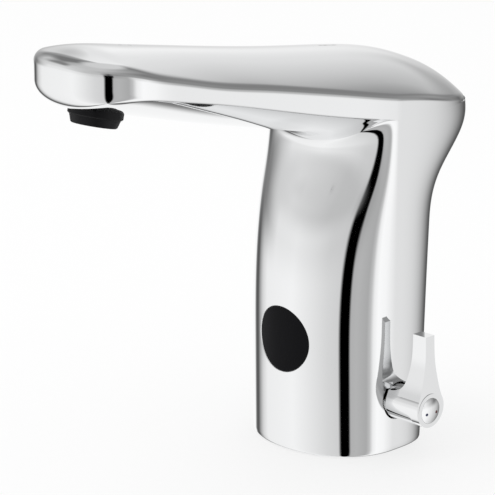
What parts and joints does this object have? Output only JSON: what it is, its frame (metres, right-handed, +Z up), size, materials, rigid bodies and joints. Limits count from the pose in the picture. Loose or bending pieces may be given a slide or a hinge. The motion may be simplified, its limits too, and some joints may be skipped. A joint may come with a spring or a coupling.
{
  "type": "sensor basin tap",
  "caption": "Chromed deck-mounted infrared sensor basin tap with a crowned spout, black sensor window, side temperature lever, solenoid valve, ceramic mixing cartridge and aerator.",
  "frame": {"origin": "centre of the pillar's foot, on the deck, at the pillar's widest line", "axes": "+Z up, -Y along the spout, +X towards the temperature lever"},
  "size_m": [0.0765, 0.1776, 0.1585],
  "materials": {
    "chromed_casting": "mirror polished chrome plate",
    "chromed_lever": "mirror polished chrome plate",
    "cap_chrome": "satin chrome plate",
    "plate_steel": "zinc plated",
    "screw_steel": "stainless",
    "core_steel": "turned stainless",
    "strainer_steel": "fine stainless mesh",
    "valve_brass": "machined",
    "black_rubber": "matt",
    "disc_ceramic": "lapped",
    "valve_plastic": "moulded",
    "sensor_plastic": "moulded",
    "tube_plastic": "extruded",
    "winding_copper": "enamelled copper wire",
    "window_black": "polished infrared filter",
    "board_green": "solder resist",
    "diode_clear": "clear epoxy",
    "diode_dark": "dark epoxy",
    "aerator_black": "moulded",
    "nozzle_black": "moulded",
    "cold_enamel": "enamel",
    "hot_enamel": "enamel"
  },
  "bodies": {
    "casting": {"body_casting": "chromed_casting", "base_plate": "plate_steel", "base_gasket": "black_rubber", "base_screws": "screw_steel", "cable_grommet": "black_rubber", "valve_block": "valve_brass", "inlet_strainers": "strainer_steel", "cartridge_seal": "black_rubber", "fixed_disc": "disc_ceramic", "cartridge_sleeve": "valve_plastic", "cartridge_nut": "valve_brass", "diaphragm": "black_rubber", "valve_bonnet": "valve_plastic", "bonnet_screws": "screw_steel", "core_tube": "core_steel", "plunger_spring": "core_steel", "coil_bobbin": "valve_plastic", "coil_winding": "winding_copper", "coil_frame": "plate_steel", "sensor_window": "window_black", "window_seal": "black_rubber", "sensor_housing": "sensor_plastic", "sensor_screws": "screw_steel", "circuit_board": "board_green", "infrared_emitter": "diode_clear", "infrared_receiver": "diode_dark", "outlet_tube": "tube_plastic", "tube_seals": "black_rubber", "aerator_washer": "black_rubber", "aerator_housing": "aerator_black", "aerator_nozzle": "nozzle_black", "aerator_mesh": "strainer_steel"},
    "lever_set": {"lever": "chromed_lever", "spindle": "valve_brass", "turning_disc": "disc_ceramic", "spindle_rings": "black_rubber", "lever_screw": "screw_steel", "lever_cap": "cap_chrome", "cold_mark": "cold_enamel", "hot_mark": "hot_enamel"},
    "plunger_set": {"plunger": "core_steel", "plunger_pad": "black_rubber"}
  },
  "joints": [
    {"name": "temperature_lever", "type": "hinge", "parent": "casting", "child": "lever_set", "pos_m": [0.03, 0.0022, 0.0186], "axis": [1, 0, 0], "range_deg": [-45, 45]},
    {"name": "plunger_lift", "type": "slide", "parent": "casting", "child": "plunger_set", "axis": [0, 0, 1], "range_m": [0, 0.0015], "stiffness_N_per_m": 300, "springref_m": -0.004, "deforming": ["plunger_spring"]}
  ]
}
